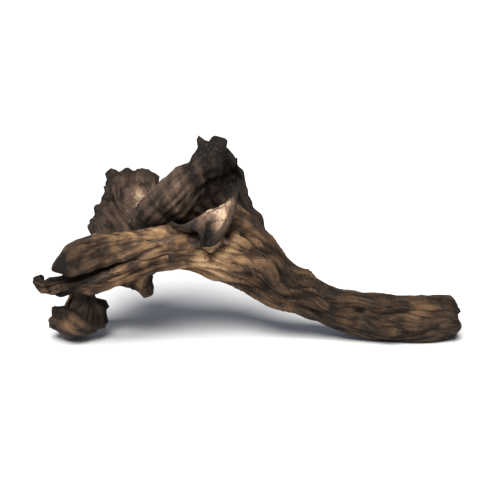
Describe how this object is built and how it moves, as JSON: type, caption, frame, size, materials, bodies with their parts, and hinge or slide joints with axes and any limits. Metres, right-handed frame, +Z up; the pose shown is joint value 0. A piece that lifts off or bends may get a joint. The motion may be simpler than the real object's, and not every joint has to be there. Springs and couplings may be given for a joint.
{
  "type": "dried black trumpet mushroom",
  "caption": "Dried black trumpet mushroom lying on its side: a hollow wrinkled stem that widens into a ragged, thin-walled funnel with rolled and curled edges.",
  "frame": {"origin": "centre of the bounding box at the height of the surface that it rests on", "axes": "+X along the mushroom from the funnel to the stem's foot, +Y away from the side with the small turned-down flap, +Z up"},
  "size_m": [0.0594, 0.0178, 0.0283],
  "materials": {
    "dried_skin": "dry, matte and wrinkled, paler outside than inside the funnel"
  },
  "bodies": {
    "root": {"trumpet_body": "dried_skin"}
  },
  "joints": []
}
